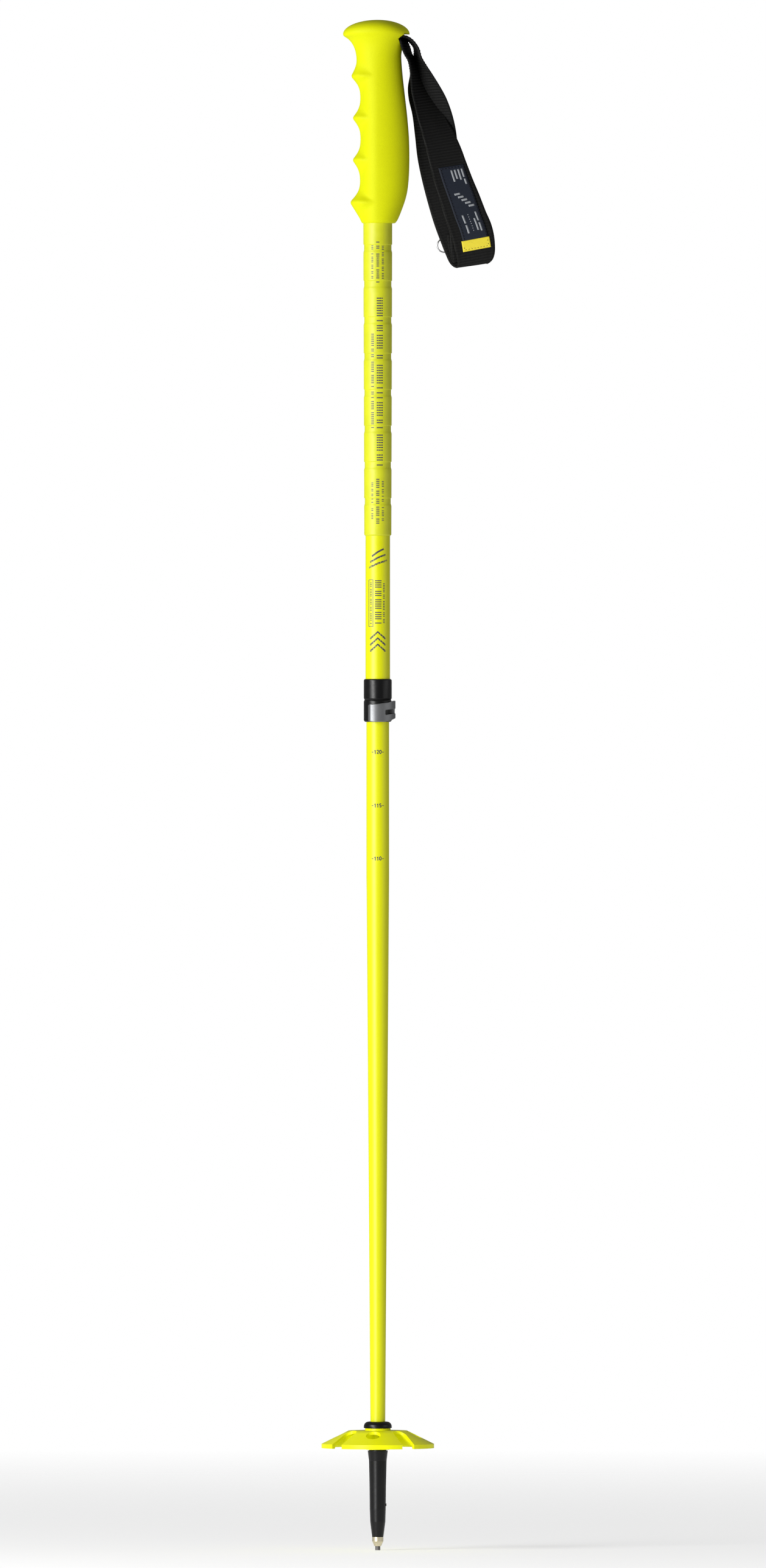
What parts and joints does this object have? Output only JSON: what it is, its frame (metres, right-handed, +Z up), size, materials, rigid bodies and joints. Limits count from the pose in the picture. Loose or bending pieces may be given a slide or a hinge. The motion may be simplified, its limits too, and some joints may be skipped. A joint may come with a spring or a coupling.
{
  "type": "adjustable ski pole",
  "caption": "Two-section ski pole with finger-ridge grip, choke-up sleeve, wrist strap, cam-lever length clamp, slotted basket and carbide tip.",
  "frame": {"origin": "the point on the shaft's axis where the carbide tip meets the ground", "axes": "+Z up along the shaft to the grip, +X towards the side the wrist strap hangs on, -Y the front"},
  "size_m": [0.1392, 0.0904, 1.23],
  "materials": {
    "grip": "matte, fine grain",
    "sleeve": "satin, slightly translucent",
    "shaft": "satin paint",
    "black_plastic": "satin",
    "white_plastic": "satin",
    "lever": "dark satin anodised",
    "steel": "satin",
    "cup_metal": "nickel plated, satin",
    "carbide": "ground",
    "basket": "satin",
    "webbing": "ribbed weave",
    "label": "woven label",
    "tab": "woven tape"
  },
  "bodies": {
    "handle": {"grip": "grip", "grip_sleeve": "sleeve", "upper_shaft": "shaft", "upper_shaft_plug": "black_plastic", "strap_pin": "steel", "strap_end": "webbing", "clamp_collar": "black_plastic", "cam_wear_plate": "steel", "barrel_nut": "steel"},
    "screw": {"tension_screw": "steel"},
    "lever": {"clamp_lever": "lever"},
    "slider": {"guide_ring": "white_plastic"},
    "lower": {"lower_shaft": "shaft", "lower_shaft_plug": "black_plastic", "ferrule": "black_plastic", "tip_holder": "cup_metal", "carbide_tip": "carbide"},
    "basket": {"basket": "basket"},
    "strap": {"strap_webbing": "webbing", "strap_label": "label", "strap_tab": "tab", "ring_keeper": "tab"},
    "ring": {"strap_ring": "steel"}
  },
  "joints": [
    {"name": "length_slide", "type": "slide", "parent": "handle", "child": "slider", "axis": [0, 0, 1], "range_m": [-0.06, 0.11]},
    {"name": "lower_spin", "type": "hinge", "parent": "slider", "child": "lower", "pos_m": [0, 0, 0.805], "axis": [0, 0, 1], "continuous": true},
    {"name": "basket_spin", "type": "hinge", "parent": "lower", "child": "basket", "pos_m": [0, 0, 0.09], "axis": [0, 0, 1], "continuous": true},
    {"name": "lever_open", "type": "hinge", "parent": "handle", "child": "lever", "pos_m": [0.00998, 0.01535, 0.6741], "axis": [0, 0, 1], "range_deg": [0, 150]},
    {"name": "screw_turn", "type": "hinge", "parent": "handle", "child": "screw", "pos_m": [0, 0.01535, 0.6741], "axis": [1, 0, 0], "continuous": true},
    {"name": "strap_swing", "type": "hinge", "parent": "handle", "child": "strap", "pos_m": [0.0266, 0, 1.2095], "axis": [0, 1, 0], "range_deg": [-105, 0]},
    {"name": "ring_swing", "type": "hinge", "parent": "strap", "child": "ring", "pos_m": [0.05867, 0.00795, 1.05032], "axis": [-0.2723, 0, 0.9622], "range_deg": [-50, 0]}
  ]
}
